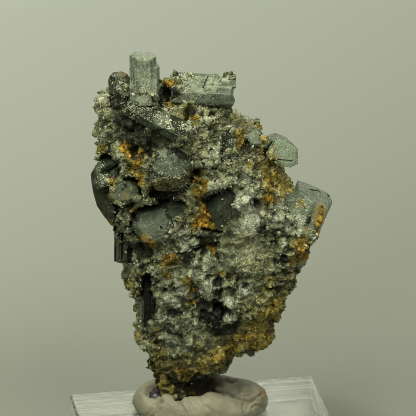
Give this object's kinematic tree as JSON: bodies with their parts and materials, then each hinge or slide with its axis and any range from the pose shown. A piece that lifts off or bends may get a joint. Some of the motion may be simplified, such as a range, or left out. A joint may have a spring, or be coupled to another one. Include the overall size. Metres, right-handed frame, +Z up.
{
  "type": "aquamarine with fluorite and schorl",
  "caption": "Mineral specimen: aquamarine prisms, black schorl and violet fluorite on mica-rich matrix, held upright in putty on a clear acrylic display block.",
  "frame": {"origin": "centre of the acrylic block's underside, on the surface it stands on", "axes": "+Z up, front of the specimen faces -Y, +X to the right seen from the front; the block stands turned about 10 degrees under it"},
  "size_m": [0.0734, 0.0734, 0.1191],
  "materials": {
    "rock": "rough, sparkling mica",
    "aquamarine": "clear to cloudy crystal",
    "aquamarine_etched": "etched, frosted crystal",
    "schorl": "glossy black, striated",
    "fluorite": "clear violet crystal",
    "putty": "hand-pressed, satin",
    "acrylic": "polished, clear"
  },
  "bodies": {
    "root": {"acrylic_base": "acrylic", "aquamarine_back_large": "aquamarine", "aquamarine_back_small": "aquamarine", "aquamarine_center": "aquamarine", "aquamarine_corner": "aquamarine_etched", "aquamarine_crescent": "aquamarine_etched", "aquamarine_diagonal_prism": "aquamarine_etched", "aquamarine_foot": "aquamarine", "aquamarine_foot_left": "aquamarine_etched", "aquamarine_left_edge": "aquamarine_etched", "aquamarine_left_facet": "aquamarine", "aquamarine_lower_left": "aquamarine", "aquamarine_mid_left": "aquamarine", "aquamarine_right_edge": "aquamarine", "aquamarine_right_hex": "aquamarine", "aquamarine_right_lower": "aquamarine", "aquamarine_right_prism": "aquamarine", "aquamarine_round_prism": "aquamarine_etched", "aquamarine_shoulder": "aquamarine", "aquamarine_slab": "aquamarine_etched", "aquamarine_tall_prism": "aquamarine", "aquamarine_top_prism": "aquamarine", "aquamarine_underside": "aquamarine", "fluorite_back": "fluorite", "fluorite_foot": "fluorite", "matrix": "rock", "putty": "putty", "schorl_back": "schorl", "schorl_blob": "schorl", "schorl_block": "schorl", "schorl_center_needle": "schorl", "schorl_left_needle": "schorl", "schorl_long_prism": "schorl", "schorl_low_needle": "schorl", "schorl_patch_a": "schorl", "schorl_patch_b": "schorl", "schorl_patch_c": "schorl", "schorl_patch_d": "schorl", "schorl_stub": "schorl", "schorl_top_needle": "schorl"}
  },
  "joints": []
}
